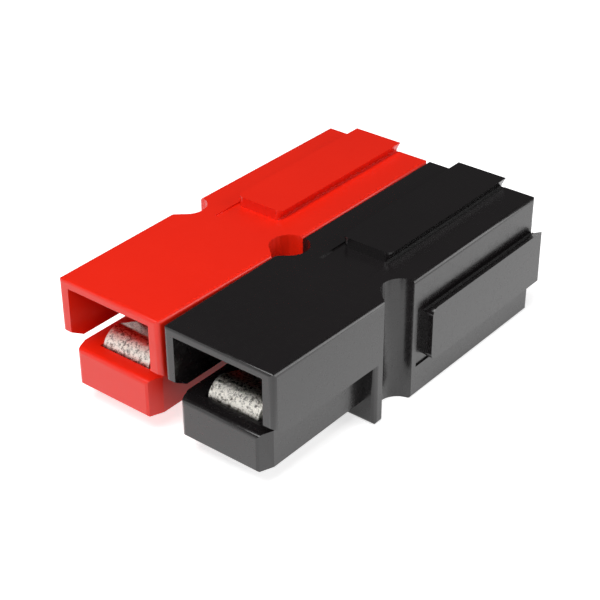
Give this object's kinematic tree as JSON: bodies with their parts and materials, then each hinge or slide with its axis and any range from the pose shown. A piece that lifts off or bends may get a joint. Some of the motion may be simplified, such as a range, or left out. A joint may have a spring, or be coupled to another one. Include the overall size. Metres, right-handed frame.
{
  "type": "genderless power connector",
  "caption": "Red and black modular genderless power connectors joined side by side, each with a hood, a tongue, a silver contact and dovetail rails.",
  "frame": {"origin": "axis of the roll-pin hole between the two housings, at the height of the mating plane", "axes": "+X towards the mating end, +Y from the red housing to the black one, +Z towards the hoods and the top rails"},
  "size_m": [0.0246, 0.0163, 0.0084],
  "materials": {
    "red_plastic": "moulded polycarbonate, satin to gloss with fine grain",
    "black_plastic": "moulded polycarbonate, glossy with fine grain",
    "silver_plate": "silver-plated sheet, finely grained",
    "spring_steel": "stainless strip"
  },
  "bodies": {
    "root": {"red_housing": "red_plastic", "black_housing": "black_plastic", "red_contact": "silver_plate", "black_contact": "silver_plate", "red_spring": "spring_steel", "black_spring": "spring_steel"}
  },
  "joints": []
}
